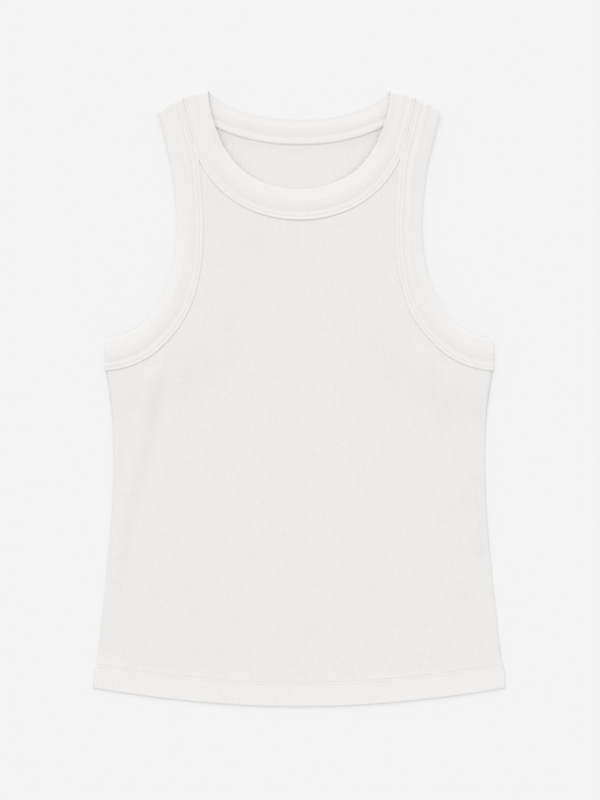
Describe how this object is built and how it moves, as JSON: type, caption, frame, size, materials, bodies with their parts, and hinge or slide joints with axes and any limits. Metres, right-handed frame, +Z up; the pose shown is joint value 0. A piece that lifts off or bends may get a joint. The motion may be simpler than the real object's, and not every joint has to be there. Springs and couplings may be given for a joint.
{
  "type": "tank top",
  "caption": "Sleeveless rib-knit tank top laid flat, front side up: scoop neck, wide straps, bound neck and armholes, turned-up hem.",
  "frame": {"origin": "under the middle of the laid-out garment's outline, on the surface that it lies on", "axes": "+X to the wearer's left, +Y from the hem to the neck, +Z up out of the garment's front"},
  "size_m": [0.3908, 0.5807, 0.0079],
  "materials": {
    "front_rib_knit": "matte off-white cotton rib knit",
    "back_rib_knit": "matte off-white cotton rib knit",
    "neck_rib_knit": "matte off-white cotton rib knit",
    "left_armhole_rib_knit": "matte off-white cotton rib knit",
    "right_armhole_rib_knit": "matte off-white cotton rib knit"
  },
  "bodies": {
    "root": {"front_panel": "front_rib_knit", "back_panel": "back_rib_knit", "neckband": "neck_rib_knit", "armhole_band_left": "left_armhole_rib_knit", "armhole_band_right": "right_armhole_rib_knit"}
  },
  "joints": []
}
